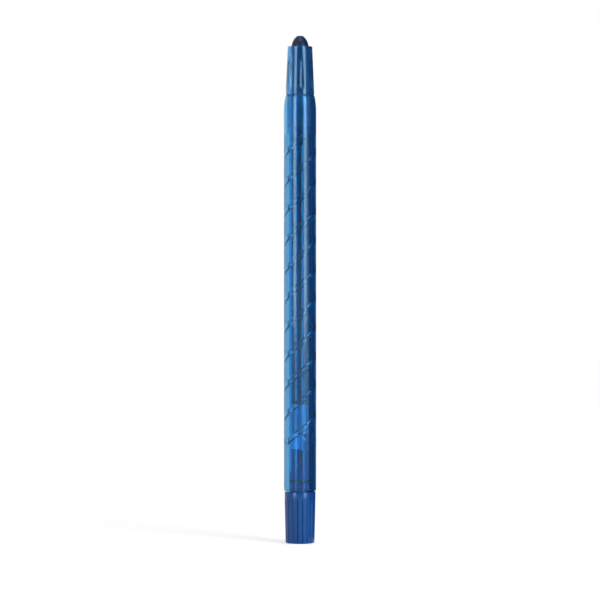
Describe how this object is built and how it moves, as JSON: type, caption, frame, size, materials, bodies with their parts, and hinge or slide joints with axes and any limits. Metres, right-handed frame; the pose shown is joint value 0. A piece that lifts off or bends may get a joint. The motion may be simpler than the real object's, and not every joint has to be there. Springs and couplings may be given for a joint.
{
  "type": "twist crayon",
  "caption": "Twist crayon with a fluted nose and a translucent barrel; a ribbed knob turns a slotted sleeve that winds a wax stick in and out along a screw groove.",
  "frame": {"origin": "centre of the knob's flat foot, on the surface that the crayon stands on", "axes": "+Z along the crayon from the knob to the wax tip, -Y towards the viewer of the picture, +X to the viewer's right"},
  "size_m": [0.01, 0.01, 0.157],
  "materials": {
    "barrel_plastic": "glossy translucent blue moulded plastic",
    "sleeve_plastic": "satin translucent pale blue moulded plastic",
    "carrier_plastic": "satin off-white moulded plastic",
    "wax": "waxy navy blue crayon",
    "knob_plastic": "glossy blue moulded plastic",
    "ring_rubber": "matte black rubber"
  },
  "bodies": {
    "barrel": {"barrel": "barrel_plastic", "nose_cone": "barrel_plastic"},
    "drive": {"drive_sleeve": "sleeve_plastic", "twist_knob": "knob_plastic", "drag_ring": "ring_rubber"},
    "carrier": {"wax_carrier": "carrier_plastic", "wax_stick": "wax"}
  },
  "joints": [
    {"name": "knob_twist", "type": "hinge", "parent": "barrel", "child": "drive", "pos_m": [0, 0, 0.008], "axis": [0, 0, 1], "range_deg": [-80.1, 1728.1]},
    {"name": "carrier_slide", "type": "slide", "parent": "drive", "child": "carrier", "axis": [0, 0, 1], "range_m": [-0.004, 0.0864]}
  ],
  "couplings": [
    {"joint": "knob_twist", "follows": "carrier_slide", "rad_per_m": 349.07}
  ]
}
